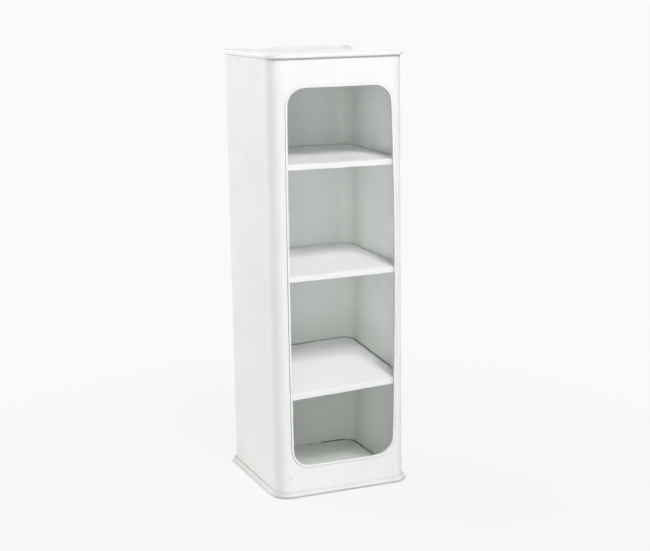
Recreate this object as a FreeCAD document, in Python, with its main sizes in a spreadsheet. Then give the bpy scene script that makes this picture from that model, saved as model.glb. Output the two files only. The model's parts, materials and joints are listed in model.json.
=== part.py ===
import FreeCAD, Part
import math
import os

import Sketcher
from FreeCAD import Vector

# A white sheet-steel shelf column: a rounded square tube with rolled rims,
# an edged front opening and three loose shelves.
# Millimetres, +Z up, the front faces -Y, the origin is on the ground under the middle of the column.

# Driving dimensions: name, value, meaning.
SIZES = [
    ("height", "1000", "ground to the top of the upper rim"),
    ("width", "320", "outside of the wall, side to side"),
    ("depth", "320", "outside of the wall, front to back"),
    ("corner_radius", "34", "outside radius of the wall's upright corners"),
    ("wall_sheet", "1", "thickness of the wall sheet"),
    ("end_sheet", "1", "thickness of the lid and floor sheet"),
    ("lid_rim_height", "10", "height of the upper rolled rim"),
    ("pan_rim_height", "11.5", "height of the lower rolled rim"),
    ("rim_overhang", "5.5", "how far a rim stands out from the wall"),
    ("rim_cap", "2", "rim metal beyond the wall's edge"),
    ("rim_round", "3.5", "rounding of a rim's upper outer edge"),
    ("rim_ease", "0.9", "bevel of a rim's inner edge and of its lower edges"),
    ("rim_clearance", "0.1", "play of the wall in a rim's slot"),
    ("lid_recess", "9", "depth of the lid's panel below the upper rim"),
    ("floor_recess", "5.5", "height of the floor's underside above the ground"),
    ("floor_groove", "2.6", "width and depth of the groove where the floor's edge folds down at the wall"),
    ("top_rail", "74.2", "top of the unit to the top of the opening"),
    ("bottom_rail", "71.8", "ground to the bottom of the opening"),
    ("left_stile", "38.2", "wall's left side to the opening's left corners"),
    ("right_stile", "34.9", "wall's right side to the opening's right corners"),
    ("left_bow", "2", "how far the opening's left side bows out at half height"),
    ("right_bow", "7", "how far the opening's right side bows out at half height"),
    ("opening_radius", "40", "corner radius of the opening"),
    ("seam_inset", "2", "wall seam to the start of the right front corner"),
    ("seam_width", "0.5", "width of the open end of the wall seam"),
    ("seam_open", "28", "length of the open end of the wall seam above the lower rim"),
    ("edging_width", "5.5", "width of the edging's legs with its web"),
    ("edging_web", "1.5", "thickness of the edging's web"),
    ("edging_front", "2.2", "how far the edging stands out from the front"),
    ("edging_back", "3.5", "thickness of the edging's inner leg"),
    ("edging_round", "1.6", "rounding of the edging's front edges"),
    ("edging_clearance", "0.1", "play of the wall in the edging's slot"),
    ("shelf_thickness", "12.5", "thickness of a shelf board"),
    ("shelf_ease", "1.2", "bevel of a shelf's upper edge"),
    ("shelf_side_gap", "3", "gap between a shelf and a side wall"),
    ("shelf_front_gap", "0.6", "gap between a shelf and the edging"),
    ("shelf_back_gap", "3", "gap between a shelf and the back wall"),
    ("upper_height_share", "0.761", "top of the upper shelf as a share of the height"),
    ("middle_height_share", "0.5135", "top of the middle shelf as a share of the height"),
    ("lower_height_share", "0.257", "top of the lower shelf as a share of the height"),
    ("upper_side_tilt", "-0.35", "degrees by which the upper shelf rises to the right"),
    ("middle_side_tilt", "0.4", "degrees by which the middle shelf rises to the right"),
    ("lower_side_tilt", "2.25", "degrees by which the lower shelf rises to the right"),
    ("upper_back_tilt", "0.4", "degrees by which the upper shelf rises to the back"),
    ("middle_back_tilt", "0.73", "degrees by which the middle shelf rises to the back"),
    ("lower_back_tilt", "4.93", "degrees by which the lower shelf rises to the back"),
    ("cleat_reach", "14", "reach of a cleat's upper leg from the wall"),
    ("cleat_drop", "12", "height of a cleat's wall leg"),
    ("cleat_sheet", "1.5", "thickness of a cleat"),
    ("cleat_bend", "1", "inside bend radius of a cleat"),
    ("cleat_snip", "3", "bevel of the upper leg's free corners"),
    ("cleat_length", "26", "length of a cleat along the wall"),
    ("cleat_front_share", "0.34", "front cleats' middles as a share of the inside depth from the front"),
    ("cleat_back_share", "0.8", "back cleats' middles as a share of the inside depth from the front"),
    ("seat_gap", "0.05", "gap between a shelf and its cleats"),
    ("overrun", "5", "how far a cut runs past the metal"),
]

# Sizes worked out from the driving dimensions: name, formula, meaning.
WORKED = [
    ("half_width", "=width / 2", "wall's outside at the sides"),
    ("half_depth", "=depth / 2", "wall's outside at front and back"),
    ("corner_x", "=width / 2 - corner_radius", "where the upright corners start, sideways"),
    ("inner_x", "=width / 2 - wall_sheet", "wall's inside at the sides"),
    ("inner_y", "=depth / 2 - wall_sheet", "wall's inside at front and back"),
    ("inner_radius", "=corner_radius - wall_sheet", "inside radius of the upright corners"),
    ("wall_length", "=height - 2 * rim_cap", "height of the wall sheet"),
    ("lid_bend", "=min(rim_round; 0.45 * lid_rim_height; 0.8 * rim_overhang)", "rounding that fits it"),
    ("pan_bend", "=min(rim_round; 0.45 * pan_rim_height; 0.8 * rim_overhang)", "rounding that fits it"),
    ("rim_out_y", "=depth / 2 + rim_overhang", "rim's outside"),
    ("slot_out_y", "=depth / 2 + rim_clearance", "outer side of a rim's slot"),
    ("slot_in_x", "=inner_x - rim_clearance", "inner side of a rim's slot, sideways"),
    ("slot_in_y", "=inner_y - rim_clearance", "inner side of a rim's slot"),
    ("slot_in_radius", "=inner_radius - rim_clearance", "corner radius on the slot's inner side"),
    ("lid_in_y", "=slot_in_y - end_sheet", "upper rim's inside"),
    ("pan_in_y", "=slot_in_y - floor_groove - end_sheet", "lower rim's inside"),
    ("rim_low_z", "=height - lid_rim_height", "underside of the upper rim"),
    ("lid_under_z", "=height - lid_recess - end_sheet", "underside of the lid's panel"),
    ("lid_slot_z", "=height - rim_cap + rim_clearance", "closed end of the upper rim's slot"),
    ("pan_slot_z", "=rim_cap - rim_clearance", "closed end of the lower rim's slot"),
    ("pan_top_z", "=floor_recess + end_sheet", "top of the floor"),
    ("open_left_x", "=left_stile + opening_radius - width / 2", "middle of the opening's left corners"),
    ("open_right_x", "=width / 2 - right_stile - opening_radius", "middle of the opening's right corners"),
    ("open_low_z", "=bottom_rail + opening_radius", "middle of the opening's lower corners"),
    ("open_high_z", "=height - top_rail - opening_radius", "middle of the opening's upper corners"),
    ("open_half_z", "=(open_high_z - open_low_z) / 2", "half the opening's straight height"),
    ("left_reach", "=(open_half_z^2 + left_bow^2) / (2 * left_bow)", "left bow's middle to a corner's"),
    ("right_reach", "=(open_half_z^2 + right_bow^2) / (2 * right_bow)", "right bow's middle to a corner's"),
    ("cut_grow", "=edging_web + edging_clearance", "wall's cut edge outside the clear opening"),
    ("edging_depth", "=edging_front + wall_sheet + edging_back", "edging's size front to back"),
    ("edging_bend", "=min(edging_round; 0.45 * edging_width; 0.9 * edging_front)", "rounding that fits it"),
    ("web_depth", "=edging_depth - edging_bend", "web's size behind the rounding"),
    ("edging_slot_out_x", "=half_width + edging_clearance", "outer side of the edging's slot, sideways"),
    ("edging_slot_out_y", "=half_depth + edging_clearance", "outer side of the edging's slot"),
    ("edging_slot_out_radius", "=corner_radius + edging_clearance", "corner radius on that side"),
    ("edging_slot_in_x", "=inner_x - edging_clearance", "inner side of the edging's slot, sideways"),
    ("edging_slot_in_y", "=inner_y - edging_clearance", "inner side of the edging's slot"),
    ("edging_slot_in_radius", "=inner_radius - edging_clearance", "corner radius on that side"),
    ("edging_inner_y", "=inner_y - edging_back", "back of the edging's inner leg"),
    ("seam_right_x", "=corner_x - seam_inset", "right side of the open seam"),
    ("seam_left_x", "=seam_right_x - seam_width", "left side of the open seam"),
    ("seam_top_z", "=pan_rim_height + seam_open", "top of the open seam"),
    ("shelf_x", "=inner_x - shelf_side_gap", "a shelf's side"),
    ("shelf_front_y", "=edging_inner_y - shelf_front_gap", "a shelf's front"),
    ("shelf_back_y", "=inner_y - shelf_back_gap", "a shelf's back"),
    ("shelf_corner", "=inner_radius - shelf_side_gap", "a shelf's corner radius"),
    ("cleat_outer_bend", "=cleat_bend + cleat_sheet", "outside bend radius of a cleat"),
    ("cleat_tip_x", "=inner_x - cleat_reach", "free edge of the cleats' upper legs"),
]

# Two places closer than this share of a millimetre are the same place.
SAME = 1e-6

ROUND = "PartDesign::Fillet"
BEVEL = "PartDesign::Chamfer"
SHELVES = ("upper", "middle", "lower")
SIDES = {"left": -1, "right": 1}
ENDS = ("front", "back")

doc = FreeCAD.newDocument("shelf_column")
sheet = doc.addObject("Spreadsheet::Sheet", "Sizes")
for row, (alias, value, meaning) in enumerate(SIZES + WORKED, start=1):
    sheet.set(f"A{row}", meaning)
    sheet.set(f"B{row}", value)
    sheet.setAlias(f"B{row}", alias)
doc.recompute()


def number(name):
    """Value of a named size, of its negative where a minus sign comes first, or zero for None."""
    if name is None:
        return 0.0
    if name.startswith("-"):
        return -float(getattr(sheet, name[1:]))
    return float(getattr(sheet, name))


def formula(name):
    """The same name as an expression that reads the sheet."""
    if name.startswith("-"):
        return "-Sizes." + name[1:]
    return "Sizes." + name


def new_body(label):
    body = doc.addObject("PartDesign::Body", label)
    body.Label = label
    return body


def new_sketch(body, name, role, offset=None):
    """A sketch on one of the body's own planes, moved along the plane's normal by a named size."""
    sketch = body.newObject("Sketcher::SketchObject", name)
    plane = next(feature for feature in body.Origin.OriginFeatures if feature.Role == role)
    sketch.AttachmentSupport = [(plane, "")]
    sketch.MapMode = "FlatFace"
    if offset:
        sketch.setExpression("AttachmentOffset.Base.z", formula(offset))
    return sketch


def hold(sketch, constraint, expression):
    """Adds a dimension to a sketch and binds it to the sheet."""
    index = sketch.addConstraint(constraint)
    sketch.setExpression(f"Constraints[{index}]", expression)


def angle_of(vector):
    return math.atan2(vector.y, vector.x)


def add_line(sketch, start, end):
    return sketch.addGeometry(Part.LineSegment(start, end))


def add_arc(sketch, middle, radius, start, end):
    circle = Part.Circle(middle, Vector(0, 0, 1), radius)
    return sketch.addGeometry(Part.ArcOfCircle(circle, start, end))


def draw_outline(sketch, sides, rounds):
    """Closed outline of level and upright lines.

    A side is a pair of "level" or "upright" and the name of the line's place. rounds[k] names the radius of
    the corner between side k and the next one, or is None for a sharp corner.
    """
    count = len(sides)
    corners = []
    for k in range(count):
        places = dict([sides[k], sides[(k + 1) % count]])
        corners.append(Vector(number(places["upright"]), number(places["level"]), 0))
    ways = [(corners[k] - corners[k - 1]).normalize() for k in range(count)]
    radii = [number(name) for name in rounds]

    lines = []
    for k in range(count):
        start = corners[k - 1] + ways[k] * radii[k - 1]
        end = corners[k] - ways[k] * radii[k]
        lines.append(add_line(sketch, start, end))

    for k, (direction, place) in enumerate(sides):
        level = direction == "level"
        sketch.addConstraint(Sketcher.Constraint("Horizontal" if level else "Vertical", lines[k]))
        if place is None:
            sketch.addConstraint(Sketcher.Constraint("PointOnObject", lines[k], 1, -1 if level else -2))
        else:
            kind = "DistanceY" if level else "DistanceX"
            hold(sketch, Sketcher.Constraint(kind, -1, 1, lines[k], 1, number(place)), formula(place))

    for k in range(count):
        following = (k + 1) % count
        if rounds[k] is None:
            sketch.addConstraint(Sketcher.Constraint("Coincident", lines[k], 2, lines[following], 1))
            continue
        before = corners[k] - ways[k] * radii[k]
        after = corners[k] + ways[following] * radii[k]
        middle = before + ways[following] * radii[k]
        left_turn = ways[k].cross(ways[following]).z > 0
        first, last = (before, after) if left_turn else (after, before)
        arc = add_arc(sketch, middle, radii[k], angle_of(first - middle), angle_of(last - middle))
        enters, leaves = (1, 2) if left_turn else (2, 1)
        sketch.addConstraint(Sketcher.Constraint("Tangent", lines[k], 2, arc, enters))
        sketch.addConstraint(Sketcher.Constraint("Tangent", arc, leaves, lines[following], 1))
        hold(sketch, Sketcher.Constraint("Radius", arc, radii[k]), formula(rounds[k]))


def draw_plan(sketch, side, front, back, radius):
    """Rounded rectangle in plan, its front line first."""
    sides = [("level", "-" + front), ("upright", side), ("level", back), ("upright", "-" + side)]
    draw_outline(sketch, sides, [radius] * len(sides))


def draw_opening(sketch, grow=None):
    """Outline of the clear opening, or one that lies outside it by the size named grow."""
    radius = number("opening_radius") + number(grow)
    radius_text = "Sizes.opening_radius" + (f" + Sizes.{grow}" if grow else "")
    low = number("open_low_z")
    high = number("open_high_z")
    middle_z = (low + high) / 2
    quarter = math.pi / 2

    # Each long side is a shallow arc that runs tangent into the two corners it joins.
    turns = {}
    bows = {}
    for side, sign in SIDES.items():
        across = number(f"{side}_reach") - number(f"{side}_bow")
        turns[side] = math.atan2(number("open_half_z"), across)
        bows[side] = Vector(number(f"open_{side}_x") - sign * across, middle_z, 0)
    left = number("open_left_x")
    right = number("open_right_x")
    tilt_r = turns["right"]
    tilt_l = turns["left"]
    half_turn = math.pi

    low_right = add_arc(sketch, Vector(right, low, 0), radius, -quarter, -tilt_r)
    right_bow = add_arc(sketch, bows["right"], number("right_reach") + radius, -tilt_r, tilt_r)
    high_right = add_arc(sketch, Vector(right, high, 0), radius, tilt_r, quarter)
    top = add_line(sketch, Vector(right, high + radius, 0), Vector(left, high + radius, 0))
    high_left = add_arc(sketch, Vector(left, high, 0), radius, quarter, half_turn - tilt_l)
    left_bow = add_arc(sketch, bows["left"], number("left_reach") + radius,
                       half_turn - tilt_l, half_turn + tilt_l)
    low_left = add_arc(sketch, Vector(left, low, 0), radius, half_turn + tilt_l, half_turn + quarter)
    bottom = add_line(sketch, Vector(left, low - radius, 0), Vector(right, low - radius, 0))

    chain = [low_right, right_bow, high_right, top, high_left, left_bow, low_left, bottom]
    for k, edge in enumerate(chain):
        sketch.addConstraint(Sketcher.Constraint("Tangent", chain[k - 1], 2, edge, 1))
    places = {low_right: ("open_right_x", "open_low_z"), high_right: ("open_right_x", "open_high_z"),
              high_left: ("open_left_x", "open_high_z"), low_left: ("open_left_x", "open_low_z")}
    for arc, (across, upward) in places.items():
        hold(sketch, Sketcher.Constraint("DistanceX", -1, 1, arc, 3, number(across)), formula(across))
        hold(sketch, Sketcher.Constraint("DistanceY", -1, 1, arc, 3, number(upward)), formula(upward))
        hold(sketch, Sketcher.Constraint("Radius", arc, radius), radius_text)
    for arc, side in ((right_bow, "right"), (left_bow, "left")):
        reach = number(f"{side}_reach") + radius
        hold(sketch, Sketcher.Constraint("Radius", arc, reach), f"Sizes.{side}_reach + {radius_text}")


def pad(body, name, sketch, length, reverse=False, both_ways=False):
    feature = body.newObject("PartDesign::Pad", name)
    feature.Profile = sketch
    feature.Reversed = reverse
    if both_ways:
        feature.SideType = "Symmetric"
    feature.setExpression("Length", formula(length))
    doc.recompute()
    return feature


def cut(body, name, sketch, length):
    """Cuts a sketch's outline out of the body, along the sketch's normal."""
    before = body.Shape.Volume
    feature = body.newObject("PartDesign::Pocket", name)
    feature.Profile = sketch
    feature.Reversed = True
    feature.setExpression("Length", length)
    doc.recompute()
    if not body.Shape.Volume < before:
        raise RuntimeError(f"{body.Label}: {name} cut nothing")
    return feature


def sweep(body, name, profile, path):
    feature = body.newObject("PartDesign::AdditivePipe", name)
    feature.Profile = profile
    feature.Spine = (path, [f"Edge{k + 1}" for k in range(len(path.Shape.Edges))])
    doc.recompute()
    return feature


def dress_edges(body, name, kind, wanted, size):
    """Rounds or bevels the edges of the body's last feature whose bounding box the test accepts."""
    last = body.Tip
    edges = [f"Edge{k + 1}" for k, edge in enumerate(last.Shape.Edges) if wanted(edge.optimalBoundingBox())]
    if not edges:
        raise RuntimeError(f"{body.Label}: {name} found no edge")
    feature = body.newObject(kind, name)
    feature.Base = (last, edges)
    feature.setExpression("Radius" if kind == ROUND else "Size", formula(size))
    doc.recompute()
    return feature


def near(value, target):
    return math.isclose(value, target, abs_tol=SAME)


def outside_wall(box):
    """Whether a bounding box reaches out past the wall."""
    side = max(-box.XMin, box.XMax)
    front = max(-box.YMin, box.YMax)
    return side > number("half_width") or front > number("half_depth")


def make_wall():
    """One sheet wrapped into a rounded square tube, with the opening cut in its front."""
    body = new_body("body_wrap")
    plan = new_sketch(body, "wall_plan", "XY_Plane", "rim_cap")
    draw_plan(plan, "half_width", "half_depth", "half_depth", "corner_radius")
    draw_plan(plan, "inner_x", "inner_y", "inner_y", "inner_radius")
    pad(body, "wall", plan, "wall_length")

    opening = new_sketch(body, "opening_outline", "XZ_Plane")
    draw_opening(opening, "cut_grow")
    cut(body, "opening", opening, "Sizes.half_depth + Sizes.overrun")

    # The weld of the upright seam stops short of the lower rim.
    seam = new_sketch(body, "seam_outline", "XZ_Plane")
    sides = [("level", None), ("upright", "seam_right_x"),
             ("level", "seam_top_z"), ("upright", "seam_left_x")]
    draw_outline(seam, sides, [None] * len(sides))
    cut(body, "open_seam", seam, "Sizes.half_depth + Sizes.overrun")
    return body


def make_end(label, rim_sides, rim_rounds, panel_z):
    """A pressed panel whose rim is folded over the wall's edge and rolled."""
    body = new_body(label)
    path = new_sketch(body, label + "_path", "XY_Plane")
    draw_plan(path, "half_width", "half_depth", "half_depth", "corner_radius")
    section = new_sketch(body, label + "_section", "YZ_Plane")
    section.setExpression("AttachmentOffset.Base.z", formula("-corner_x"))
    draw_outline(section, rim_sides, rim_rounds)
    doc.recompute()
    sweep(body, label + "_rim", section, path)

    panel = new_sketch(body, label + "_panel_plan", "XY_Plane", panel_z)
    draw_plan(panel, "slot_in_x", "slot_in_y", "slot_in_y", "slot_in_radius")
    pad(body, label + "_panel", panel, "end_sheet")
    return body


def make_lid():
    sides = [("upright", "-lid_in_y"), ("level", "height"), ("upright", "-rim_out_y"), ("level", "rim_low_z"),
             ("upright", "-slot_out_y"), ("level", "lid_slot_z"),
             ("upright", "-slot_in_y"), ("level", "lid_under_z")]
    rounds = [None, "lid_bend", None, None, None, None, None, None]
    body = make_end("top_lid", sides, rounds, "lid_under_z")
    top = number("height")
    low = number("rim_low_z")
    dress_edges(body, "lid_inner_edge", BEVEL,
                lambda box: near(box.ZMin, top) and not outside_wall(box), "rim_ease")
    dress_edges(body, "lid_lower_edges", BEVEL,
                lambda box: near(box.ZMax, low) and outside_wall(box), "rim_ease")
    return body


def make_pan():
    sides = [("level", "pan_top_z"), ("upright", "-slot_in_y"), ("level", "pan_slot_z"),
             ("upright", "-slot_out_y"), ("level", "pan_rim_height"), ("upright", "-rim_out_y"),
             ("level", None), ("upright", "-pan_in_y")]
    rounds = [None, None, None, None, "pan_bend", None, None, None]
    body = make_end("bottom_pan", sides, rounds, "floor_recess")
    floor_top = number("pan_top_z")
    dress_edges(body, "pan_ground_edges", BEVEL, lambda box: near(box.ZMax, 0), "rim_ease")
    dress_edges(body, "pan_floor_edge", BEVEL, lambda box: near(box.ZMin, floor_top), "floor_groove")
    return body


def make_edging():
    """U-section trim over the opening's cut edge; its slot follows the wall, also where the corner starts."""
    body = new_body("opening_edging")
    ring = new_sketch(body, "edging_outline", "XZ_Plane", "edging_inner_y")
    draw_opening(ring, "edging_width")
    draw_opening(ring)
    pad(body, "edging_ring", ring, "edging_depth")

    front = -(number("half_depth") + number("edging_front"))
    dress_edges(body, "edging_front_edges", ROUND, lambda box: near(box.YMax, front), "edging_bend")

    slot = new_sketch(body, "edging_slot_plan", "XY_Plane")
    draw_plan(slot, "edging_slot_out_x", "edging_slot_out_y", "edging_slot_out_y", "edging_slot_out_radius")
    draw_plan(slot, "edging_slot_in_x", "edging_slot_in_y", "edging_slot_in_y", "edging_slot_in_radius")
    cut(body, "edging_slot", slot, "Sizes.height")

    web = new_sketch(body, "edging_web_outline", "XZ_Plane", "edging_inner_y")
    draw_opening(web, "edging_web")
    draw_opening(web)
    pad(body, "edging_inner_web", web, "web_depth")
    return body


def make_shelf(name):
    """A board with rounded corners, laid on its cleats at its own tilt."""
    body = new_body(f"{name}_shelf")
    plan = new_sketch(body, f"{name}_shelf_plan", "XY_Plane")
    draw_plan(plan, "shelf_x", "shelf_front_y", "shelf_back_y", "shelf_corner")
    pad(body, f"{name}_board", plan, "shelf_thickness", reverse=True)
    dress_edges(body, f"{name}_upper_edge", BEVEL, lambda box: near(box.ZMin, 0), "shelf_ease")
    place = f"vector(0; 0; Sizes.height * Sizes.{name}_height_share)"
    turn = f"rotation(0; -Sizes.{name}_side_tilt; Sizes.{name}_back_tilt)"
    body.setExpression("Placement", f"placement({place}; {turn})")
    return body


def make_cleat(name, side, end):
    """A small angle on a side wall, at the height and slope of the shelf's underside there."""
    sign = SIDES[side]
    reach = "-cleat_reach" if sign > 0 else "cleat_reach"
    inner = "-cleat_sheet" if sign > 0 else "cleat_sheet"
    body = new_body(f"{name}_cleat_{side}_{end}")
    section = new_sketch(body, f"{body.Label}_section", "XZ_Plane")
    sides = [("level", None), ("upright", reach), ("level", "-cleat_sheet"), ("upright", inner),
             ("level", "-cleat_drop"), ("upright", None)]
    draw_outline(section, sides, [None, None, "cleat_bend", None, None, "cleat_outer_bend"])
    pad(body, f"{body.Label}_angle", section, "cleat_length", both_ways=True)
    tip = number(reach)

    def free_corner(box):
        return near(box.XMin, tip) and near(box.XMax, tip) and near(box.YMin, box.YMax)

    dress_edges(body, f"{body.Label}_corners", BEVEL, free_corner, "cleat_snip")

    side_tilt = f"Sizes.{name}_side_tilt"
    back_slope = f"tan(Sizes.{name}_back_tilt) / cos({side_tilt})"
    across = f"(2 * Sizes.cleat_{end}_share - 1) * Sizes.inner_y"
    middle = (f"Sizes.height * Sizes.{name}_height_share"
              f" - Sizes.shelf_thickness / (cos({side_tilt}) * cos(Sizes.{name}_back_tilt))")
    lowest = f"min({sign} * Sizes.shelf_x * tan({side_tilt}); {sign} * Sizes.cleat_tip_x * tan({side_tilt}))"
    upward = f"{middle} + {lowest} + {across} * {back_slope} - Sizes.seat_gap"
    place = f"vector({sign} * Sizes.inner_x; {across}; {upward})"
    body.setExpression("Placement", f"placement({place}; rotation(0; 0; atan({back_slope})))")
    return body


parts = [make_wall(), make_lid(), make_pan(), make_edging()]
for shelf_name in SHELVES:
    parts.append(make_shelf(shelf_name))
    parts.extend(make_cleat(shelf_name, side, end) for side in SIDES for end in ENDS)
doc.recompute()

for item in doc.Objects:
    if "Invalid" in item.State or "Error" in item.State:
        raise RuntimeError(f"{item.Label} failed: {item.State}")
for part in parts:
    if part.Shape.isNull() or not part.Shape.isValid() or len(part.Shape.Solids) != 1:
        raise RuntimeError(f"{part.Label} is not one valid solid")

os.makedirs("parts", exist_ok=True)
for part in parts:
    part.Shape.exportStep(f"parts/{part.Label}.step")
    box = part.Shape.optimalBoundingBox()
    print(f"{part.Label}: {part.Shape.Volume:.0f} mm3, x {box.XMin:.1f} to {box.XMax:.1f},"
          f" y {box.YMin:.1f} to {box.YMax:.1f}, z {box.ZMin:.1f} to {box.ZMax:.1f}")
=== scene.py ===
# %% [markdown]
# A white sheet-steel shelf column, dressed in Blender.
# The metalwork, the boards and the way they lift are already modelled as solids. This lesson loads those
# solids as a fixed frame and gives each surface its finish: stove enamel, painted board and plastic trim.
# Everything is in metres, the front of the column faces -Y, and the ground is at height zero.

# %% Load the frame
import json
import math

import bpy
from mathutils import Matrix, Vector


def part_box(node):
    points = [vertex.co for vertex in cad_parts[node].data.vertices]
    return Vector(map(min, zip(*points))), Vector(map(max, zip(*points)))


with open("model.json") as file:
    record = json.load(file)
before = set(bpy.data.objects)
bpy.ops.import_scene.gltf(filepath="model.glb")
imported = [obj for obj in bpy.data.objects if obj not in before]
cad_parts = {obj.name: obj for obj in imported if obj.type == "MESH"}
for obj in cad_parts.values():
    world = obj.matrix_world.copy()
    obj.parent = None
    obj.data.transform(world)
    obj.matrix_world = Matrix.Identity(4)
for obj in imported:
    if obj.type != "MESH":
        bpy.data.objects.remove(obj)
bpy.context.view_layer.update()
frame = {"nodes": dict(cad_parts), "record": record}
nodes = frame["nodes"]
mounts = {mount["name"]: mount for mount in frame["record"]["mounts"]}
bpy.ops.object.select_all(action="DESELECT")

# %% [markdown]
# The finishes need to know where things are: the outside of the wall, the tops of the rims, the floor.
# Most of these are read from the boxes of the solids and from the record, so a change of size in the
# solids moves the paint with them. The corner radius, the sheet and the seam are written here, because no
# box shows them.

# %% Measure the frame
wall_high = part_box("body_wrap")[1]
edging_low, edging_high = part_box("opening_edging")

HALF_WIDTH = wall_high.x
HALF_DEPTH = wall_high.y
CORNER_RADIUS = 0.034
WALL_SHEET = 0.001
LID_RIM_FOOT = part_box("top_lid")[0].z
COLUMN_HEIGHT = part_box("top_lid")[1].z
PAN_RIM_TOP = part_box("bottom_pan")[1].z
LID_TOP = mounts["lid_top"]["pos_m"][2]
FLOOR_TOP = mounts["floor_top"]["pos_m"][2]
OPENING_MIDDLE = (edging_low + edging_high) / 2
SEAM_INSET = 0.00225
SEAM_LENGTH = 0.028
SEAM_X = HALF_WIDTH - CORNER_RADIUS - SEAM_INSET
SEAM_TOP = PAN_RIM_TOP + SEAM_LENGTH
wall_sizes = [round(size, 4) for size in (2 * HALF_WIDTH, 2 * HALF_DEPTH, COLUMN_HEIGHT)]
print("wall width, wall depth and column height", wall_sizes)

# %% [markdown]
# The camera stands where the photograph was taken from: to the left of the front, above the lid, looking
# down a little. It could be aimed by eye. Here its place and angles were worked out from the edges of the
# column in the picture, so the render can be laid over the photograph. A long lens keeps the uprights
# almost parallel.

# %% Place the camera
CAMERA_PLACE = Vector((-1.22655, -3.03519, 1.15122))
CAMERA_YAW = math.radians(22.438)
CAMERA_PITCH = math.radians(11.671)
CAMERA_ROLL = math.radians(-0.835)
SENSOR_WIDTH_MM = 36.0
LENS_MM = 78.911

camera_data = bpy.data.cameras.new("studio_camera")
camera_data.sensor_width = SENSOR_WIDTH_MM
camera_data.lens = LENS_MM
camera = bpy.data.objects.new("studio_camera", camera_data)
bpy.context.scene.collection.objects.link(camera)
turn = Matrix.Rotation(-CAMERA_YAW, 4, "Z")
tilt = Matrix.Rotation(math.radians(90) - CAMERA_PITCH, 4, "X")
roll = Matrix.Rotation(CAMERA_ROLL, 4, "Z")
camera.matrix_world = Matrix.Translation(CAMERA_PLACE) @ turn @ tilt @ roll
bpy.context.scene.camera = camera
print("camera at", [round(value, 3) for value in CAMERA_PLACE])

# %% [markdown]
# Every finish below is a small graph of shader nodes. Adding nodes one by one is wordy, so these helpers
# each add one kind of node and hand back its output. A number may be given wherever a socket is expected.
# All patterns read Object coordinates, which for these solids are plain metres in the column's own frame.

# %% Helpers that add one node
def new_finish(name):
    """A material, its Principled shader and the socket with the place on the object."""
    material = bpy.data.materials.new(name)
    material.use_nodes = True
    shader = material.node_tree.nodes["Principled BSDF"]
    place = material.node_tree.nodes.new("ShaderNodeTexCoord").outputs["Object"]
    return material, shader, place


def plug(material, socket, value):
    """Links an output into an input, or sets the input to a plain value."""
    if isinstance(value, bpy.types.NodeSocket):
        material.node_tree.links.new(value, socket)
    else:
        socket.default_value = value


def calc(material, operation, first, second=0.0):
    """One step of arithmetic."""
    node = material.node_tree.nodes.new("ShaderNodeMath")
    node.operation = operation
    plug(material, node.inputs[0], first)
    plug(material, node.inputs[1], second)
    return node.outputs[0]


def split(material, vector):
    """The three coordinates of a vector."""
    node = material.node_tree.nodes.new("ShaderNodeSeparateXYZ")
    plug(material, node.inputs[0], vector)
    return node.outputs[0], node.outputs[1], node.outputs[2]


def ramp(material, value, low, high, start=0.0, end=1.0):
    """Goes smoothly from start to end as the value goes from low to high."""
    node = material.node_tree.nodes.new("ShaderNodeMapRange")
    node.interpolation_type = "SMOOTHSTEP"
    plug(material, node.inputs["Value"], value)
    node.inputs["From Min"].default_value = low
    node.inputs["From Max"].default_value = high
    node.inputs["To Min"].default_value = start
    node.inputs["To Max"].default_value = end
    return node.outputs["Result"]


def noise(material, place, size, detail=2.0, stretch=(1.0, 1.0, 1.0)):
    """Cloudy pattern from 0 to 1 whose lumps are about the given size in metres."""
    mapping = material.node_tree.nodes.new("ShaderNodeMapping")
    plug(material, mapping.inputs["Vector"], place)
    mapping.inputs["Scale"].default_value = [1.0 / (size * amount) for amount in stretch]
    node = material.node_tree.nodes.new("ShaderNodeTexNoise")
    plug(material, node.inputs["Vector"], mapping.outputs["Vector"])
    node.inputs["Scale"].default_value = 1.0
    node.inputs["Detail"].default_value = detail
    return node.outputs["Fac"]


def blend(material, amount, first, second):
    """Goes from the first colour to the second one."""
    node = material.node_tree.nodes.new("ShaderNodeMix")
    node.data_type = "RGBA"
    plug(material, node.inputs["Factor"], amount)
    for socket, colour in ((node.inputs[6], first), (node.inputs[7], second)):
        plug(material, socket, colour if isinstance(colour, bpy.types.NodeSocket) else (*colour, 1.0))
    return node.outputs[2]


print("node helpers ready")

# %% [markdown]
# The next helpers answer questions about a point on the column. Is it near a spot? Is a value inside a
# band? How high does it lie over a tilted shelf? How far is it from the outer face of the wall? The last
# one is the distance to a square with rounded corners, and its sign tells the outside of the sheet from
# the inside.

# %% Helpers that ask where a point is
def product(material, *factors):
    """All the factors multiplied together."""
    result = factors[0]
    for factor in factors[1:]:
        result = calc(material, "MULTIPLY", result, factor)
    return result


def band(material, value, low, high, soft):
    """1 while the value lies between low and high, falling to 0 over the soft width beyond them."""
    rise = ramp(material, value, low - soft, low)
    fall = ramp(material, value, high, high + soft, 1.0, 0.0)
    return product(material, rise, fall)


def spot(material, place, middle, radius):
    """1 at a point on the object, falling to 0 at the radius."""
    node = material.node_tree.nodes.new("ShaderNodeVectorMath")
    node.operation = "DISTANCE"
    plug(material, node.inputs[0], place)
    node.inputs[1].default_value = middle
    return ramp(material, node.outputs["Value"], 0.0, radius, 1.0, 0.0)


def height_over(material, place, mount):
    """How far a point lies above the flat face of a mount, square to that face."""
    axis = Vector(mount["axis"])
    node = material.node_tree.nodes.new("ShaderNodeVectorMath")
    node.operation = "DOT_PRODUCT"
    plug(material, node.inputs[0], place)
    node.inputs[1].default_value = axis
    return calc(material, "SUBTRACT", node.outputs["Value"], axis.dot(Vector(mount["pos_m"])))


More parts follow.
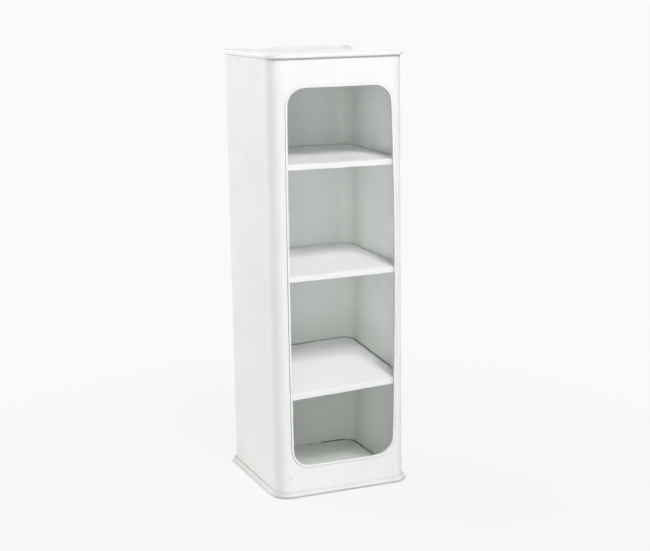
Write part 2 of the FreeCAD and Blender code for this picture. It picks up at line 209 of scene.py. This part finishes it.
def depth_in_sheet(material, place):
    """How far a point lies outside the wall's outer face: 0 on it, negative inside."""
    x, y, _ = split(material, place)
    across = calc(material, "SUBTRACT", calc(material, "ABSOLUTE", x), HALF_WIDTH - CORNER_RADIUS)
    along = calc(material, "SUBTRACT", calc(material, "ABSOLUTE", y), HALF_DEPTH - CORNER_RADIUS)
    past_x = calc(material, "MAXIMUM", across, 0.0)
    past_y = calc(material, "MAXIMUM", along, 0.0)
    square_x = calc(material, "POWER", past_x, 2.0)
    square_y = calc(material, "POWER", past_y, 2.0)
    rounded = calc(material, "SQRT", calc(material, "ADD", square_x, square_y))
    flat = calc(material, "MINIMUM", calc(material, "MAXIMUM", across, along), 0.0)
    return calc(material, "SUBTRACT", calc(material, "ADD", rounded, flat), CORNER_RADIUS)


def facing(material):
    """The direction in which the surface faces, in the column's own frame."""
    return material.node_tree.nodes.new("ShaderNodeTexCoord").outputs["Normal"]


def relief(material, shader, layers):
    """Stacks bump layers, each a height pattern and its depth in metres, on the shader."""
    below = None
    for height, depth in layers:
        node = material.node_tree.nodes.new("ShaderNodeBump")
        node.inputs["Strength"].default_value = 1.0
        node.inputs["Distance"].default_value = depth
        plug(material, node.inputs["Height"], height)
        if below is not None:
            plug(material, node.inputs["Normal"], below)
        below = node.outputs["Normal"]
    plug(material, shader.inputs["Normal"], below)


print("place helpers ready")

# %% [markdown]
# The wall is one sheet of steel, sprayed with white stove enamel. Sprayed enamel is never a flat colour:
# the sheet waves a little under it, the paint dries with a fine orange-peel skin, and years of use leave
# it cloudy. Inside, the paint is a faint grey-green and a lighter white than outside, lighter still high
# up and darker in the back corners, which is painted light and painted shade for the bays. So the finish
# asks on which face of the sheet a point lies.

# %% What the enamelled pieces share
OUTSIDE_WHITE = (0.752, 0.752, 0.75)
CLOUDED_WHITE = (0.73, 0.73, 0.727)
# Painted light: the inside whites are lighter than the outside one, the high one most of all.
INSIDE_HIGH = (0.955, 0.977, 0.952)
INSIDE_LOW = (0.878, 0.902, 0.872)
INSIDE_DULL = (0.83, 0.852, 0.825)
# Grey for painted shade in the back corners and over the lowest shelf.
PAINTED_SHADE_GREY = (0.67, 0.695, 0.66)
DUST = (0.5, 0.49, 0.46)
# Dark colour for dirt, and for the painted shade in joints and gaps.
GRIME_AND_SHADE = (0.11, 0.115, 0.1)
YELLOWED = (0.7, 0.67, 0.56)
ENAMEL_SPECULAR = 0.3
ENAMEL_ROUGHNESS = (0.5, 0.62)
CLOUD_SIZE = 0.12
DULL_CLOUD_SHARE = 0.4
CORNER_SHADE_SHARE = 0.4
CORNER_SHADE_START = 0.3
WAVE_SIZE = 0.16
WAVE_DEPTH = 0.0009
PEEL_SIZE = 0.004
PEEL_DEPTH = 0.000008


def enamel_colours(material, place):
    """The two clouded whites; the inner has painted light, most high up, and painted shade in corners."""
    x, y, height = split(material, place)
    clouds = ramp(material, noise(material, place, CLOUD_SIZE, detail=4.0), 0.35, 0.7)
    outside = blend(material, clouds, OUTSIDE_WHITE, CLOUDED_WHITE)
    # Painted light: the inside is lighter higher up.
    lighter_higher_up = ramp(material, height, 0.0, COLUMN_HEIGHT)
    inside = blend(material, lighter_higher_up, INSIDE_LOW, INSIDE_HIGH)
    inside = blend(material, product(material, clouds, DULL_CLOUD_SHARE), inside, INSIDE_DULL)
    # Painted shade: the inside is darker towards the back corners.
    to_side = ramp(material, calc(material, "ABSOLUTE", x), CORNER_SHADE_START * HALF_WIDTH, HALF_WIDTH)
    to_back = ramp(material, calc(material, "ABSOLUTE", y), CORNER_SHADE_START * HALF_DEPTH, HALF_DEPTH)
    corner = product(material, to_side, to_back, CORNER_SHADE_SHARE)
    inside = blend(material, corner, inside, PAINTED_SHADE_GREY)
    return outside, inside


def enamel_skin(material, shader, place, matt=0.0):
    """Waves of the sheet, orange peel of the paint and a varied gloss, which matt makes rougher."""
    waves = noise(material, place, WAVE_SIZE, detail=1.0)
    peel = noise(material, place, PEEL_SIZE, detail=1.0)
    relief(material, shader, [(waves, WAVE_DEPTH), (peel, PEEL_DEPTH)])
    gloss = noise(material, place, 0.05, detail=3.0)
    rough = ramp(material, gloss, 0.3, 0.7, *ENAMEL_ROUGHNESS)
    plug(material, shader.inputs["Roughness"], calc(material, "ADD", rough, matt))
    shader.inputs["Specular IOR Level"].default_value = ENAMEL_SPECULAR


print("enamel ready")

# %% [markdown]
# Dirt and shade gather where pieces meet, and they make joints readable on a white object. Outside there
# are grey lines of painted shade under the upper rim, above the lower one and at the open end of the
# wall's seam; a small smudge and a yellowed patch low at the back are dirt. Inside, a painted shade line
# runs on the wall at each shelf's height and tilt, painted shade darkens the wall round the crooked lowest
# shelf, and the joint of floor and wall, dirt and painted shade, is the darkest line of all.

# %% Wall enamel
SHELF_GAP_SHADE_STRENGTHS = {"upper": 0.35, "middle": 0.1, "lower": 0.5}
SHELF_SHADE_HEIGHT = 0.12
SHELF_SHADE_FADE = 0.06
SHELF_SHADE_AMOUNT = 0.65
SHELF_GAP_SHADE_BAND = (-0.004, 0.0008)
JOINT_LINE = (-0.004, 0.0014)
INNER_LINE_SOFT = 0.0012
JOINT_RUN_START = (0.066, 0.084)
JOINT_STRETCH = (0.04, 0.05)
JOINT_STRETCH_SOFT = 0.01
JOINT_STRETCH_DARKNESS = 0.32
FOOT_DUST = 0.1
FOOT_DUST_HEIGHT = 0.05
RIM_SHADE_LINE = (-0.002, 0.0022)
RIM_SHADE_SOFT = 0.0014
RIM_SHADE_ON_LEFT = 0.27
RIM_SHADE_IN_FRONT = 0.07
LID_SHADE = 0.4
LID_SHADE_HALF = 0.003
LID_SHADE_SOFT = 0.002
SLIT_SHADE = 0.15
SLIT_HALF = 0.0006
SLIT_SOFT = 0.0007
SLIT_FADE = 0.012
SMUDGE = (-0.13, -HALF_DEPTH, 0.047)
SMUDGE_RADIUS = 0.008
SMUDGE_DIRT = 0.14
YELLOWED_PATCH = (-HALF_WIDTH, 0.11, 0.02)
YELLOWED_RADIUS = 0.075
YELLOWED_AMOUNT = 0.45


def outside_dirt_and_shade(material, place, paint):
    """Dust over the lower rim, painted shade at both rims and the seam, the smudge and the yellowed patch.
    """
    x, y, height = split(material, place)
    grains = ramp(material, noise(material, place, 0.012, detail=5.0), 0.42, 0.75)
    dust = ramp(material, height, PAN_RIM_TOP, PAN_RIM_TOP + FOOT_DUST_HEIGHT, FOOT_DUST, 0.0)
    paint = blend(material, product(material, dust, grains), paint, DUST)
    # Painted shade: a grey line on the wall just above the lower rim, strongest on the left.
    line = band(material, height, PAN_RIM_TOP + RIM_SHADE_LINE[0], PAN_RIM_TOP + RIM_SHADE_LINE[1], RIM_SHADE_SOFT)
    patches = ramp(material, noise(material, place, 0.05, detail=3.0), 0.3, 0.6, 0.3, 1.0)
    corner_end = -HALF_WIDTH + CORNER_RADIUS
    to_left = ramp(material, x, -HALF_WIDTH, corner_end, RIM_SHADE_ON_LEFT, RIM_SHADE_IN_FRONT)
    paint = blend(material, product(material, line, patches, to_left), paint, GRIME_AND_SHADE)
    at_front = ramp(material, y, -HALF_DEPTH, -HALF_DEPTH + CORNER_RADIUS, 1.0, 0.0)
    # Painted shadow: a grey line on the front wall just under the lid's rim.
    shade_low = LID_RIM_FOOT - LID_SHADE_HALF
    shade_high = LID_RIM_FOOT + LID_SHADE_HALF
    rim_shade = band(material, height, shade_low, shade_high, LID_SHADE_SOFT)
    paint = blend(material, product(material, rim_shade, at_front, LID_SHADE), paint, GRIME_AND_SHADE)

    # Painted shade: a dark line at the open end of the wall's seam.
    slit = band(material, x, SEAM_X - SLIT_HALF, SEAM_X + SLIT_HALF, SLIT_SOFT)
    open_end = ramp(material, height, SEAM_TOP - SLIT_FADE, SEAM_TOP, SLIT_SHADE, 0.0)
    paint = blend(material, product(material, slit, open_end, at_front), paint, GRIME_AND_SHADE)
    smudge = product(material, spot(material, place, SMUDGE, SMUDGE_RADIUS), SMUDGE_DIRT)
    paint = blend(material, smudge, paint, GRIME_AND_SHADE)
    patch = spot(material, place, YELLOWED_PATCH, YELLOWED_RADIUS)
    return blend(material, product(material, patch, YELLOWED_AMOUNT), paint, YELLOWED)


def joint_dirt_and_shade(material, place):
    """Dirt and painted shade at the floor joint: dark on the right, light on the left but for a stretch.
    """
    x, _, _ = split(material, place)
    breaks = ramp(material, noise(material, place, 0.035, detail=2.0), 0.4, 0.52, 0.5, 0.9)
    dark_run = product(material, breaks, ramp(material, x, *JOINT_RUN_START))
    stretch = band(material, x, *JOINT_STRETCH, JOINT_STRETCH_SOFT)
    return calc(material, "MAXIMUM", dark_run, product(material, stretch, JOINT_STRETCH_DARKNESS))


def inside_shade_and_dirt(material, place, paint):
    """Painted shade over the lowest shelf and along each shelf, and dirt and shade at the floor joint."""
    _, _, height = split(material, place)
    over_lower = height_over(material, place, mounts["lower_shelf_top"])
    # Painted shade: the wall is darker just above the crooked lowest shelf.
    shade_over_shelf = ramp(material, over_lower, 0.0, SHELF_SHADE_HEIGHT, SHELF_SHADE_AMOUNT, 0.0)
    fade_below = ramp(material, over_lower, -SHELF_SHADE_FADE, 0.0)
    paint = blend(material, product(material, shade_over_shelf, fade_below), paint, PAINTED_SHADE_GREY)
    # Painted shade: a dark line on the wall at each shelf's height and tilt, for the shaded gap behind the
    # board.
    for name, strength in SHELF_GAP_SHADE_STRENGTHS.items():
        over_shelf = height_over(material, place, mounts[f"{name}_shelf_top"])
        line = band(material, over_shelf, *SHELF_GAP_SHADE_BAND, INNER_LINE_SOFT)
        line_patchiness = noise(material, place, 0.03, detail=3.0)
        streaks = ramp(material, line_patchiness, 0.3, 0.55, 0.5 * strength, strength)
        paint = blend(material, product(material, line, streaks), paint, GRIME_AND_SHADE)
    # Dirt and painted shade along the joint of floor and wall.
    over_floor_top = calc(material, "SUBTRACT", height, FLOOR_TOP)
    joint = band(material, over_floor_top, *JOINT_LINE, INNER_LINE_SOFT)
    return blend(material, product(material, joint, joint_dirt_and_shade(material, place)), paint, GRIME_AND_SHADE)


def wall_enamel():
    material, shader, place = new_finish("wall_enamel")
    outside, inside = enamel_colours(material, place)
    outside = outside_dirt_and_shade(material, place, outside)
    inside = inside_shade_and_dirt(material, place, inside)
    face = depth_in_sheet(material, place)
    is_inside = ramp(material, face, -0.6 * WALL_SHEET, -0.4 * WALL_SHEET, 1.0, 0.0)
    plug(material, shader.inputs["Base Color"], blend(material, is_inside, outside, inside))
    enamel_skin(material, shader, place)
    return material


print("wall finish ready")

# %% [markdown]
# The lid and the floor pan are pressings in the same enamel. Their rolled rims take the knocks, so the
# paint there is a little chipped. The lower one is yellowed, most of all towards the back, and dusty on
# top. Both rims are painted darker along their lowest edge as painted shade. The lid's panel is matt, and
# its upward face is painted whiter as painted light. On the side of the bays both ends share the
# grey-green of the walls, and the groove round the floor is dark with dirt and painted shade.

# %% Lid and pan enamel
CHIPPED = (0.46, 0.45, 0.42)
# Painted light: a whiter colour for the upward face of the lid's panel.
PANEL_PAINTED_LIGHT = (0.86, 0.86, 0.856)
PANEL_MATT = 0.3
CHIP_SIZE = 0.006
CHIP_AMOUNT = 0.8
LOW_EDGE = (0.0012, 0.004)
GROOVE_EDGE = (-0.0042, -0.0034)


def rim_enamel(name, foot, foot_shade, yellowing, dustiness, inside_amount):
    """Enamel for a pressed end; inside_amount tells from the height how much a point faces the bays."""
    material, shader, place = new_finish(name)
    x, y, height = split(material, place)
    outside, inside = enamel_colours(material, place)
    face = depth_in_sheet(material, place)
    rim = ramp(material, face, 0.002, 0.0055)
    aged = ramp(material, noise(material, place, 0.09, detail=3.0), 0.3, 0.7, 0.4, 1.0)
    to_back = ramp(material, y, -HALF_DEPTH, 0.6 * HALF_DEPTH, 0.15, 1.0)
    paint = blend(material, product(material, rim, aged, to_back, yellowing), outside, YELLOWED)
    chips = ramp(material, noise(material, place, CHIP_SIZE, detail=6.0), 0.72, 0.75, 0.0, CHIP_AMOUNT)
    paint = blend(material, product(material, rim, chips), paint, CHIPPED)
    _, _, face_up = split(material, facing(material))
    settled = ramp(material, face_up, -0.2, 0.7, 0.0, dustiness)
    to_left = ramp(material, x, -HALF_WIDTH, -HALF_WIDTH + CORNER_RADIUS, 1.0, 0.5)
    paint = blend(material, product(material, settled, to_left), paint, DUST)
    # Painted shade along the lowest edge of the rim, strongest at the front.
    low_edge = ramp(material, height, foot + LOW_EDGE[0], foot + LOW_EDGE[1], foot_shade, 0.0)
    to_front = ramp(material, y, -HALF_DEPTH, -HALF_DEPTH + CORNER_RADIUS, 1.0, 0.25)
    paint = blend(material, product(material, low_edge, to_front), paint, GRIME_AND_SHADE)
    within = ramp(material, face, -1.1 * WALL_SHEET, -0.9 * WALL_SHEET, 1.0, 0.0)
    # Painted light: the upward face of the panel inside the rim is painted whiter.
    panel = product(material, within, ramp(material, face_up, 0.5, 0.9))
    paint = blend(material, panel, paint, PANEL_PAINTED_LIGHT)
    # Dirt and painted shade in the groove round the floor.
    groove = ramp(material, face, *GROOVE_EDGE)
    inside = blend(material, product(material, groove, joint_dirt_and_shade(material, place)), inside, GRIME_AND_SHADE)
    paint = blend(material, product(material, inside_amount(material, height), within), paint, inside)
    plug(material, shader.inputs["Base Color"], paint)
    enamel_skin(material, shader, place, product(material, panel, PANEL_MATT))
    return material


def under_lid(material, height):
    """1 on the lower face of the lid's sheet, 0 on the upper one."""
    return ramp(material, height, LID_TOP - 0.6 * WALL_SHEET, LID_TOP - 0.4 * WALL_SHEET, 1.0, 0.0)


def over_floor(material, height):
    """1 from just under the top of the floor upwards, 0 below."""
    return ramp(material, height, FLOOR_TOP - 0.003, FLOOR_TOP - 0.0027)


print("rim finish ready")

# %% [markdown]
# The trim round the opening is a soft white plastic section pushed over the raw edge of the sheet. Its
# outer flank is painted darker, a painted shade that is strongest low down, so a grey line runs along it.
# The finish finds that flank by the way the surface faces: outward, away from the middle of the opening.

# %% Edging plastic
EDGING_WHITE = (0.755, 0.755, 0.752)
EDGING_DULL = (0.725, 0.727, 0.721)
EDGING_ROUGHNESS = (0.42, 0.55)
EDGING_GRAIN_SIZE = 0.0012
EDGING_GRAIN_DEPTH = 0.00001
FLANK_SHADE_LOW = 0.6
FLANK_SHADE_HIGH = 0.3


def edging_plastic():
    material, shader, place = new_finish("edging_plastic")
    x, _, height = split(material, place)
    tone = ramp(material, noise(material, place, 0.02, detail=4.0), 0.3, 0.7)
    paint = blend(material, tone, EDGING_WHITE, EDGING_DULL)
    face_x, _, face_z = split(material, facing(material))
    right_or_left = calc(material, "SIGN", calc(material, "SUBTRACT", x, OPENING_MIDDLE.x))
    up_or_down = calc(material, "SIGN", calc(material, "SUBTRACT", height, OPENING_MIDDLE.z))
    sideways = product(material, face_x, right_or_left)
    upward = product(material, face_z, up_or_down)
    outward = calc(material, "ADD", sideways, upward)
    # Painted shade on the trim's outer flank, weaker towards the top.
    flank_shade_by_height = ramp(material, height, OPENING_MIDDLE.z, edging_high.z, FLANK_SHADE_LOW, FLANK_SHADE_HIGH)
    flank = product(material, ramp(material, outward, 0.05, 0.65), flank_shade_by_height)
    paint = blend(material, flank, paint, GRIME_AND_SHADE)
    plug(material, shader.inputs["Base Color"], paint)
    grain = noise(material, place, EDGING_GRAIN_SIZE, detail=2.0)
    relief(material, shader, [(grain, EDGING_GRAIN_DEPTH)])
    gloss = noise(material, place, 0.03, detail=3.0)
    plug(material, shader.inputs["Roughness"], ramp(material, gloss, 0.3, 0.7, *EDGING_ROUGHNESS))
    return material


print("edging finish ready")

# %% [markdown]
# The shelves are boards with rounded corners, painted white by roller. A roller leaves a fine stipple,
# and things slid in and out leave faint scuffs that run front to back. The faces towards the front are
# painted darker, as painted shade.

# %% Board paint
BOARD_WHITE = (0.942, 0.946, 0.948)
BOARD_CLOUDED = (0.917, 0.921, 0.925)
BOARD_FRONT_SHADE = (0.72, 0.72, 0.718)
SCUFF = (0.74, 0.735, 0.72)
SCUFF_WIDTH = 0.006
SCUFF_STRETCH = (1.0, 14.0, 1.0)
SCUFF_AMOUNT = 0.25
BOARD_ROUGHNESS = (0.5, 0.62)
STIPPLE_SIZE = 0.002
STIPPLE_DEPTH = 0.00003


def board_paint():
    material, shader, place = new_finish("board_paint")
    clouds = ramp(material, noise(material, place, 0.09, detail=4.0), 0.35, 0.7)
    paint = blend(material, clouds, BOARD_WHITE, BOARD_CLOUDED)
    streaks = noise(material, place, SCUFF_WIDTH, detail=3.0, stretch=SCUFF_STRETCH)
    paint = blend(material, ramp(material, streaks, 0.66, 0.76, 0.0, SCUFF_AMOUNT), paint, SCUFF)
    # Painted shade: the faces towards the front are darker.
    _, face_y, _ = split(material, facing(material))
    edge = ramp(material, face_y, -0.9, -0.3, 1.0, 0.0)
    paint = blend(material, edge, paint, BOARD_FRONT_SHADE)
    plug(material, shader.inputs["Base Color"], paint)
    stipple = noise(material, place, STIPPLE_SIZE, detail=2.0)
    relief(material, shader, [(stipple, STIPPLE_DEPTH)])
    gloss = noise(material, place, 0.04, detail=3.0)
    plug(material, shader.inputs["Roughness"], ramp(material, gloss, 0.3, 0.7, *BOARD_ROUGHNESS))
    return material


print("board finish ready")

# %% [markdown]
# Each CAD solid keeps its mesh and only its material slot is filled anew.

# %% Dress the solids
def dress(material, names):
    """Puts one material on every slot of the named solids."""
    for name in names:
        for material_slot in nodes[name].material_slots:
            material_slot.material = material


cleats = [name for name in nodes if "_cleat_" in name]
shelves = [name for name in nodes if name.endswith("_shelf")]
dress(wall_enamel(), ["body_wrap"] + cleats)
lid_enamel = rim_enamel("lid_enamel", foot=LID_RIM_FOOT, foot_shade=0.2, yellowing=0.08, dustiness=0.05,
                        inside_amount=under_lid)
pan_enamel = rim_enamel("pan_enamel", foot=0.0, foot_shade=0.6, yellowing=0.5, dustiness=0.75,
                        inside_amount=over_floor)
dress(lid_enamel, ["top_lid"])
dress(pan_enamel, ["bottom_pan"])
dress(edging_plastic(), ["opening_edging"])
dress(board_paint(), shelves)
print("dressed", len(nodes), "solids")

# %% [markdown]
# The studio is a plain pale floor under a white surround. The surround is white only to the camera and in
# reflections, so it adds no light of its own to the column. The floor glows the same white far away,
# where it meets the surround without a line. Right under the rim it glows less, a painted contact shadow,
# so the column has a dark line to stand on.

# %% Floor and surround
FLOOR_SIZE = 30.0
FLOOR_SHADE = (0.7, 0.7, 0.7, 1.0)
SURROUND_WHITE = (0.955, 0.955, 0.955, 1.0)
AMBIENT_LEVEL = 0.02
CONTACT_SHADOW_BAND = (0.006, 0.015)
CONTACT_SHADOW_GLOW = 0.05
NEAR_GLOW = 0.9
FAR_REACH = 1.2


def seen_directly(owner):
    """1 for camera, glossy and transmission rays, 0 for the rays that carry light about."""
    path = owner.node_tree.nodes.new("ShaderNodeLightPath").outputs
    seen = calc(owner, "MAXIMUM", path["Is Camera Ray"], path["Is Glossy Ray"])
    return calc(owner, "MAXIMUM", seen, path["Is Transmission Ray"])


def two_faced(owner, amount, plain, direct, output_kind):
    """Joins two shaders: the plain one, and the direct one in the amount given."""
    mix = owner.node_tree.nodes.new("ShaderNodeMixShader")
    plug(owner, mix.inputs[0], amount)
    plug(owner, mix.inputs[1], plain)
    plug(owner, mix.inputs[2], direct)
    output = owner.node_tree.nodes.new(output_kind)
    plug(owner, output.inputs["Surface"], mix.outputs[0])


bpy.ops.mesh.primitive_plane_add(size=FLOOR_SIZE, location=(0.0, 0.0, 0.0))
floor = bpy.context.object
floor.name = "studio_floor"
floor_paper, _, place = new_finish("floor_paper")
from_wall = depth_in_sheet(floor_paper, place)
# Painted contact shadow: the floor glows less right under the rim.
near_glow = ramp(floor_paper, from_wall, *CONTACT_SHADOW_BAND, CONTACT_SHADOW_GLOW, NEAR_GLOW)
far_glow = ramp(floor_paper, from_wall, CONTACT_SHADOW_BAND[1], FAR_REACH, 0.0, 1.0 - NEAR_GLOW)
share = product(floor_paper, calc(floor_paper, "ADD", near_glow, far_glow), seen_directly(floor_paper))
diffuse = floor_paper.node_tree.nodes.new("ShaderNodeBsdfDiffuse")
diffuse.inputs["Color"].default_value = FLOOR_SHADE
glow = floor_paper.node_tree.nodes.new("ShaderNodeEmission")
glow.inputs["Color"].default_value = SURROUND_WHITE
for spare in ("Principled BSDF", "Material Output"):
    floor_paper.node_tree.nodes.remove(floor_paper.node_tree.nodes[spare])
two_faced(floor_paper, share, diffuse.outputs[0], glow.outputs[0], "ShaderNodeOutputMaterial")
floor.data.materials.append(floor_paper)

world = bpy.data.worlds.new("studio_surround")
bpy.context.scene.world = world
world.use_nodes = True
world.node_tree.nodes.clear()
ambient = world.node_tree.nodes.new("ShaderNodeBackground")
ambient.inputs["Strength"].default_value = AMBIENT_LEVEL
surround = world.node_tree.nodes.new("ShaderNodeBackground")
surround.inputs["Color"].default_value = SURROUND_WHITE
surround.inputs["Strength"].default_value = 1.0
two_faced(world, seen_directly(world), ambient.outputs[0], surround.outputs[0], "ShaderNodeOutputWorld")
print("floor and surround set")

# %% [markdown]
# Six soft lights shape the column. The edges of the shadows on the shelves show where the main light
# stood: straight in front and halfway up. A wide faint strip under it softens those edges, and two white
# screens at the sides reach into the bays. One light stands behind on the left. The corner nearest the
# camera gets little of the strong ones, which is why it is the darkest white outside. The last one hangs
# over the lid.
# Each light has a level, which is about what a white surface facing it would show.

# %% Lights
LIGHT_AIM = Vector((0.0, 0.0, 0.55 * COLUMN_HEIGHT))


def soft_light(name, azimuth, elevation, distance, width, height, level):
    """A lamp aimed at the column; azimuth is counted in degrees from the front towards the right."""
    across = math.radians(azimuth)
    upward = math.radians(elevation)
    level_part = math.cos(upward)
    toward = Vector((math.sin(across) * level_part, -math.cos(across) * level_part, math.sin(upward)))
    data = bpy.data.lights.new(name, "AREA")
    data.shape = "RECTANGLE"
    data.size = width
    data.size_y = height
    data.energy = math.pi ** 2 * distance ** 2 * level
    lamp = bpy.data.objects.new(name, data)
    bpy.context.scene.collection.objects.link(lamp)
    lamp.location = LIGHT_AIM + distance * toward
    lamp.rotation_euler = toward.to_track_quat("Z", "Y").to_euler()


# Each row: name, azimuth and elevation in degrees, distance, width, height, level
LAMPS = [
    ("main_light", 0, 45.5, 8.5, 1.95, 1.95, 0.61),
    ("front_strip", 0, 31, 12.0, 9.6, 4.8, 0.168),
    ("front_left_screen", -32, 6, 5.0, 4.0, 1.9, 0.252),
    ("right_screen", 60, -1, 5.0, 4.0, 0.9, 0.265),
    ("left_back_light", -143, 16, 12.0, 6.0, 4.0, 0.93),
    ("top_light", 0, 90, 4.0, 3.0, 3.0, 0.24),
]
for lamp_values in LAMPS:
    soft_light(*lamp_values)
bpy.context.scene.view_settings.view_transform = "Standard"
print("set", len(LAMPS), "lights")
